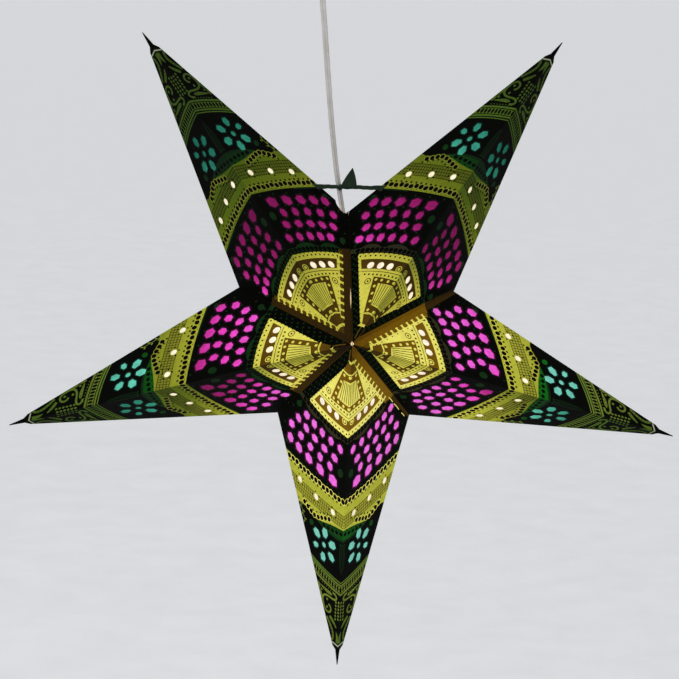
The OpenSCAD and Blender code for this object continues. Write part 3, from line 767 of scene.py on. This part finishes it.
def draw_tip(art):
    def at(u, v):
        return (u + math.sqrt(150.0 ** 2 - v * v) - 150, v)
    side = [-2 + 3 * k for k in range(17)]
    for ink, u0, u1 in LADDER:
        art.add(ink, [at(u0, v) for v in side] + [at(u1, v) for v in reversed(side)])
    art.dots("black", [at(254.9, 0.4 + 3.8 * k) for k in range(12)], 1.5, 8, long=1.9, edge=1)
    art.dots("olive", [at(262.8, 7.6 + 3.2 * k) for k in range(8)], 0.6, 6, edge=1.5)
    art.stroke("olive", [by_edge(u, 1.7) for u in range(263, 284, 4)], 2.2)
    art.add("olive", LOBE)
    art.dots("black", [(266.4, 15.4), (266.2, 19.4), (265.6, 23.2)], 0.6, 6)
    art.rings((268.8, 27.6), (2.5, 1.3), ("black", "olive"))
    art.stroke("olive", smooth(SCROLL), 2.1)
    art.dots("olive", [(274.8, 18.8), (283.2, 18.6)], 1.35, 9)
    lattice = [(start + 3.7 * k, v) for k in range(6) for start, v in ((269.4, 1.9), (271.3, 5.9))]
    art.dots("olive", lattice, 1.2, 7, long=1.15)
    art.stroke("olive", smooth([(290.8, 14), (293, 10.4), (295.6, 7), (298.6, 3.8)]), 3.4, True)
    art.dots("black", [(292.6, 11.2), (294.4, 8.6), (296.2, 6.2)], 0.5, 6)
    art.stroke("olive", smooth(BRANCH), 2.6)
    art.dots("black", BRANCH_DOTS, 0.6, 6)
    art.add("olive", [(302.4, 4), (305.6, 1), (313.8, -1), (314.2, 3.6), (309, 3.4)])
    art.add("pale", [(316, -1), (317.6, -1), (317.2, 9), (315.8, 9)])


# Spans along the seam where light glints through
GLINTS = ((105, 116), (120, 134), (141, 149))


def draw_panel(spiky, strip, toothed, q, crescent, sprig, glint=False):
    art = Print()
    draw_field(art, crescent)
    draw_border(art, strip, toothed, q)
    draw_kite(art, q)
    draw_lime(art, spiky)
    draw_flower(art, sprig)
    draw_tip(art)
    if glint:
        for p0, p1 in GLINTS:
            art.stroke("yellow", [by_seam(p0, 4.9), by_seam((p0 + p1) / 2, 4.6), by_seam(p1, 4.8)], 0.8)
    return art


# The print sits a little differently on each panel: ink of the strip by the seam, gold where the seam is lit and
# umber as painted shade where it is darker, toothed or plain border and how far it lies from the seam, ink of the
# crescents, sprig in the corner, and light that glints along the seam
PANELS = {
    "top_left": (("umber", True, 9.8, "green", False), ("umber", True, 11.4, "green", True)),
    "top_right": (("umber", False, 8.2, "slate", False), ("gold", False, 13.6, "green", True)),
    "right": (("gold", True, 9.0, "slate", False), ("umber", False, 10.2, "slate", True)),
    "bottom": (("gold", True, 10.4, "slate", False, True), ("umber", False, 11.2, "slate", True)),
    "left": (("umber", True, 10.6, "green", False), ("umber", False, 12.6, "green", True)),
}
# Points whose lace beads touch the lime band's inner edge
SPIKY = ("bottom",)


# Points inside closed outlines: an odd number of the edges lies to one side of them
def inside_edges(pts, edges):
    x, y = pts[:, 0], pts[:, 1]
    hit = np.zeros(len(pts), bool)
    for (x0, y0), (x1, y1) in edges:
        if y0 != y1:
            hit ^= ((y0 > y) != (y1 > y)) & (x < (x1 - x0) * (y - y0) / (y1 - y0) + x0)
    return hit


# Closed outlines among a panel's rim edges: its own edge and its cut-outs
def rim_loops(points, edges):
    beside = {}
    for a, b in edges:
        beside.setdefault(a, []).append(b)
        beside.setdefault(b, []).append(a)
    loops, seen = [], set()
    for start in beside:
        loop, here = [], start
        while here is not None and here not in seen:
            seen.add(here)
            loop.append(here)
            here = next((n for n in beside[here] if n not in seen), None)
        if len(loop) > 2:
            loops.append(points[loop])
    return loops


# Rings round the cut-outs, painted glow of the tissue's light in the paper about each hole, by the row that they lie
# in:
# its outer limit, rings with their widths, and dots round each hole. They go over the print at the white holes, and
# under it where coloured tissue shines.
GLOW_RINGS_AND_DOTS = (
    (90, (("gold", 0.7),), 0, True),
    (155, (("dusk", 2.1), ("plum", 1.0)), 0, False),
    (190, (("lime", 0.9),), 5, True),
    (RIDGE, (("teal", 1.1),), 0, False),
)
LARGEST_HOLE, SPOT_OUT = 15, 5.2


def glow_rings_and_dots(points, edges):
    under, over = [], []
    for loop in rim_loops(points, edges):
        centre = loop.mean(0)
        size = np.linalg.norm(loop - centre, axis=1).mean()
        if size > LARGEST_HOLE:
            continue
        rings, spots, on_top = next(row[1:] for row in GLOW_RINGS_AND_DOTS if centre[0] < row[0])
        where = over if on_top else under
        for a in turns(spots, 0):
            spot = centre + SPOT_OUT * np.array((math.cos(a + 0.4), math.sin(a + 0.4)))
            disc = np.array([(math.cos(b), math.sin(b)) for b in turns(7, 0)])
            where.append((INK_ORDER.index("black"), spot + disc))
        # Rings of painted glow round the hole
        for ink, wide in rings:
            where.append((INK_ORDER.index(ink), centre + (loop - centre) * (1 + wide / size)))
    return under, over


# Cuts the ornament into one flat panel whose rim and cut-outs come from the card's own outer face
def paint_flat(rim_points, rim, art):
    low, high = rim_points.min(0) - 0.01, rim_points.max(0) + 0.01
    verts = [Vector(p) for p in rim_points]
    edges = [tuple(e) for e in rim]
    used = []
    under, over = glow_rings_and_dots(rim_points, rim)
    for ink, poly in under + art.shapes + over:
        if (poly.max(0) < low).any() or (poly.min(0) > high).any():
            continue
        first, n = len(verts), len(poly)
        verts += [Vector(p) for p in poly]
        edges += [(first + k, first + (k + 1) % n) for k in range(n)]
        used.append((ink, poly))
    out, _, faces, _, _, _ = delaunay_2d_cdt(verts, edges, [], 0, 1e-4, False)
    out = np.array([tuple(v) for v in out])
    tri = np.array([f for f in faces if len(f) == 3])
    mid = out[tri].mean(1)
    keep = inside_edges(mid, rim_points[np.array(rim)])
    tri, mid = tri[keep], mid[keep]
    inks = np.full(len(tri), INK_ORDER.index("black"))
    for ink, poly in used:
        near = np.nonzero(((mid >= poly.min(0)) & (mid <= poly.max(0))).all(1))[0]
        if len(near):
            inks[near[inside_edges(mid[near], zip(poly, np.roll(poly, -1, 0)))]] = ink
    return out, tri, inks


# Vertices at the same place joined into one
def joined(points, places):
    keys, back = np.unique(np.round(points, places), axis=0, return_inverse=True)
    return keys, back.reshape(-1)


# Triangles of a card's solid, in mm from the star's centre along the three axes of its point
def card_triangles(mesh, axes):
    mesh.calc_loop_triangles()
    co = np.zeros(len(mesh.vertices) * 3)
    mesh.vertices.foreach_get("co", co)
    keys, back = joined(co.reshape(-1, 3) / MM, 4)
    tris = np.array([back[list(t.vertices)] for t in mesh.loop_triangles])
    tris = tris[(tris[:, 0] != tris[:, 1]) & (tris[:, 1] != tris[:, 2]) & (tris[:, 0] != tris[:, 2])]
    local = keys - np.array(STAR) / MM
    return np.stack([local @ axis for axis in axes], 1), tris


# Apex, flat axes and outward direction of one panel, on one side and one face of its point
def panel_axes(side, face):
    tip, apex = np.array([0, 0, TIP_R]), np.array([0, face * DEEP, 0])
    valley = np.array([side * VALLEY_R * S36, 0, VALLEY_R * C36])
    e1 = (tip - apex) / np.linalg.norm(tip - apex)
    e2 = valley - apex - (valley - apex) @ e1 * e1
    e2 /= np.linalg.norm(e2)
    out = np.cross(e1, e2)
    return apex, e1, e2, -out if out[1] * face < 0 else out


# Edges that only one of the triangles has, numbered as in ids
def rim_edges(tris, ids):
    number = {k: i for i, k in enumerate(ids)}
    count = {}
    for a, b, c in tris:
        for e in ((a, b), (b, c), (c, a)):
            key = (min(e), max(e))
            count[key] = count.get(key, 0) + 1
    return [(number[a], number[b]) for (a, b), n in count.items() if n == 1]


# In mm: how far a panel's faces may lie off its plane, depth of the cut walls, length of the black needle, and how
# near the seam the card is painted umber as shade, also where the top seam stands open
SKIN, WALL_DEEP, NEEDLE, SEAM_SHADE, TOP_SHADE = 0.03, 0.8, 21, 0.4, 1.15


# One printed card: painted outer panels, and the solid's own flanges, walls and inner faces
def paint_card(name, angle):
    t = math.radians(angle)
    along = np.array([math.cos(t), 0, math.sin(t)])
    across = np.array([math.sin(t), 0, -math.cos(t)])
    deep = np.array([0, 1.0, 0])
    local, tris = card_triangles(nodes["card_" + name].data, (across, deep, along))
    corner = local[tris]
    normal = np.cross(corner[:, 1] - corner[:, 0], corner[:, 2] - corner[:, 0])
    normal /= np.maximum(np.linalg.norm(normal, axis=1), 1e-12)[:, None]
    left, wall = np.ones(len(tris), bool), np.zeros(len(tris), bool)
    points, faces, mats = [], [], []
    for side, style in zip((-1, 1), PANELS[name]):
        art = draw_panel(name in SPIKY, *style)
        for face in (-1, 1):
            apex, e1, e2, out = panel_axes(side, face)
            depth = (corner - apex) @ out
            on = (normal @ out > 0.999) & (np.abs(depth).max(1) < SKIN)
            left &= ~on
            wall |= (np.abs(normal @ out) < 0.9) & (depth.max(1) < 0.05) & (depth.min(1) > -WALL_DEEP)
            ids = np.unique(tris[on])
            flat = np.stack([(local[ids] - apex) @ e1, (local[ids] - apex) @ e2], 1)
            verts, cells, inks = paint_flat(flat, rim_edges(tris[on], ids), art)
            used = np.unique(cells)
            moved = np.full(len(verts), -1)
            moved[used] = np.arange(len(used)) + len(points)
            points += list(apex + verts[used][:, :1] * e1 + verts[used][:, 1:] * e2)
            flip = np.cross(e1, e2) @ out < 0
            for cell, ink in zip(cells, inks):
                ring = [moved[v] for v in cell]
                area = np.cross(verts[cell[1]] - verts[cell[0]], verts[cell[2]] - verts[cell[0]])
                faces.append(ring[::-1] if (area < 0) != flip else ring)
                mats.append(int(ink))
    first = len(points)
    points += list(local)
    near = corner[left]
    middle = near.mean(1)
    inset = (near[:, :, 2] * S36 - np.abs(near[:, :, 0]) * C36).max(1)
    by_top = ((middle[:, 0] > 0) == (name == "top_left")) & name.startswith("top_")
    # Card faces this near a seam, and in the open top seam, get umber: painted shade in the crevice between the
    # points
    dark = inset < np.where(by_top, TOP_SHADE, SEAM_SHADE)
    for tri, height, edge, in_seam_shade in zip(tris[left], middle[:, 2], wall[left], dark):
        faces.append([int(v) + first for v in tri])
        if height > TIP_R - NEEDLE:
            mats.append(INK_ORDER.index("black"))
        else:
            mats.append(INK_ORDER.index("umber") if in_seam_shade else len(INK_ORDER) + int(edge))
    points = np.array(points)
    world = (points[:, :1] * across + points[:, 1:2] * deep + points[:, 2:] * along) * MM + np.array(STAR)
    keys, back = joined(world, 7)
    clean, inks = [], []
    for f, m in zip(faces, mats):
        ring = [int(back[v]) for v in f]
        if len(set(ring)) == 3:
            clean.append(ring)
            inks.append(m)
    data = bpy.data.meshes.new("printed_card_" + name)
    data.from_pydata([tuple(p) for p in keys], [], clean)
    for mat in list(INKS.values()) + [CARD_INSIDE, CARD_EDGE]:
        data.materials.append(mat)
    data.polygons.foreach_set("material_index", inks)
    data.validate()
    data.update()
    obj = bpy.data.objects.new("printed_card_" + name, data)
    scene.collection.objects.link(obj)
    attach(obj, "root")
    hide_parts("card_" + name)


for name, angle in POINTS.items():
    paint_card(name, angle)


# Finishes of the pieces that keep their solids
def dress(material, *names):
    for name in names:
        for slot in nodes[name].material_slots:
            slot.material = material


# Tissue lit from inside, with soft crumples
def tissue(name, stops, glow=0.6):
    mat, tree, shader, coords = new_material(name)
    colour = bulb_light(tree, coords, stops)
    crumple = noise(tree, coords, 240.0, 3.0, 0.5)
    colour = scaled(tree, colour, spread(tree, crumple, 0.82, 1.16))
    tree.links.new(scaled(tree, colour, 0.45), shader.inputs["Base Color"])
    tree.links.new(colour, shader.inputs["Emission Color"])
    shader.inputs["Emission Strength"].default_value = glow
    shader.inputs["Roughness"].default_value = 0.75
    shader.inputs["Specular IOR Level"].default_value = 0.05
    bump(tree, shader, crumple, 0.4, 0.0006)
    return mat


WHITE = tissue("tissue_white", [
    (60, (255, 244, 220)), (200, (252, 240, 208)), (340, (246, 232, 204))], 0.75)
MAGENTA = tissue("tissue_magenta", [
    (60, (250, 120, 236)), (90, (250, 112, 232)), (118, (248, 100, 224)), (143, (242, 70, 198)),
    (158, (194, 44, 144)), (175, (160, 30, 112)), (192, (144, 23, 96)), (230, (114, 17, 76))])
TURQUOISE = tissue("tissue_turquoise", [
    (130, (124, 208, 186)), (176, (122, 212, 192)), (207, (98, 202, 174)), (230, (80, 180, 154)),
    (250, (56, 152, 128)), (275, (46, 140, 116)), (320, (28, 108, 88)), (360, (22, 92, 76))])
for point in POINTS:
    dress(WHITE, "inner_white_tissue_" + point, "outer_white_tissue_" + point)
    dress(MAGENTA, "magenta_tissue_" + point)
    dress(TURQUOISE, "turquoise_tissue_" + point)


# Moulded plastic: faint cloudiness, uneven gloss and fine grain
def plastic(name, dark, light, rough=0.32, grain=1400.0, soft=0.05):
    mat, tree, shader, coords = new_material(name)
    cloud = noise(tree, coords, 70.0, 5.0)
    tree.links.new(ramp(tree, cloud, [(0.3, srgb(*dark)), (0.7, srgb(*light))]), shader.inputs["Base Color"])
    gloss = noise(tree, coords, 420.0, 4.0)
    tree.links.new(spread(tree, gloss, rough - 0.07, rough + 0.1), shader.inputs["Roughness"])
    shader.inputs["Subsurface Weight"].default_value = soft
    shader.inputs["Subsurface Radius"].default_value = (0.002, 0.0016, 0.0012)
    bump(tree, shader, noise(tree, coords, grain, 4.0), 0.12, 0.0002)
    return mat


# Turned or rolled metal: fine lines across the axis and a duller film in patches
def metal(name, dark, light, rough=0.28, line=1500.0):
    mat, tree, shader, coords = new_material(name)
    film = noise(tree, coords, 160.0, 6.0, 0.7)
    tree.links.new(ramp(tree, film, [(0.35, srgb(*dark)), (0.65, srgb(*light))]), shader.inputs["Base Color"])
    shader.inputs["Metallic"].default_value = 1.0
    tree.links.new(spread(tree, film, rough + 0.14, rough - 0.06), shader.inputs["Roughness"])
    wave = node(tree, "ShaderNodeTexWave", wave_type="BANDS", bands_direction="Z")
    wave.inputs["Scale"].default_value = line
    wave.inputs["Distortion"].default_value = 3.0
    tree.links.new(coords, wave.inputs["Vector"])
    bump(tree, shader, wave.outputs["Fac"], 0.12, 0.0001)
    return mat


# Bulb: nickel screw base as far as its neck, lit opal glass beyond it, along the leaning axis from the cord's exit
AXIS_FROM, BULB_AXIS, NECK_FROM, NECK_TO = (0.0325, 0.0, -0.326), (0.1219, 0.0, -0.9925), 0.0735, 0.0755


def bulb_material():
    mat, tree, shader, coords = new_material("bulb_opal")
    along = node(tree, "ShaderNodeVectorMath", operation="DOT_PRODUCT")
    along.inputs[1].default_value = BULB_AXIS
    tree.links.new(coords, along.inputs[0])
    start = sum(a * b for a, b in zip(AXIS_FROM, BULB_AXIS))
    glass = spread(tree, along.outputs["Value"], 0.0, 1.0, start + NECK_FROM, start + NECK_TO)
    film = noise(tree, coords, 300.0, 5.0)
    tint = ramp(tree, glass, [(0.0, srgb(176, 168, 150)), (1.0, srgb(255, 243, 216))])
    tint = scaled(tree, tint, spread(tree, film, 0.9, 1.04))
    tree.links.new(tint, shader.inputs["Base Color"])
    tree.links.new(tint, shader.inputs["Emission Color"])
    tree.links.new(spread(tree, glass, 0.0, 0.8, 0.0, 1.0), shader.inputs["Emission Strength"])
    tree.links.new(spread(tree, glass, 1.0, 0.0, 0.0, 1.0), shader.inputs["Metallic"])
    tree.links.new(spread(tree, film, 0.18, 0.34), shader.inputs["Roughness"])
    bump(tree, shader, film, 0.06, 0.0002)
    return mat


HOLDER = plastic("holder_plastic", (206, 203, 194), (222, 219, 211))
CEILING = plastic("ceiling_plastic", (214, 213, 208), (230, 229, 225), 0.36)
BRASS = metal("brass", (150, 116, 58), (190, 152, 84))
STEEL = metal("steel", (150, 152, 154), (186, 188, 190), 0.3)
dress(HOLDER, "lampholder_cap", "lampholder_body", "cord_bush")
dress(CEILING, "ceiling_plate", "ceiling_cup", "cord_grip", "grip_nut")
dress(plastic("terminal_nylon", (206, 204, 190), (226, 224, 212), 0.42, 900.0, 0.2), "terminal_block")
dress(BRASS, "lamp_sleeve")
dress(STEEL, "cup_screws", "grip_screw")
dress(bulb_material(), "bulb")
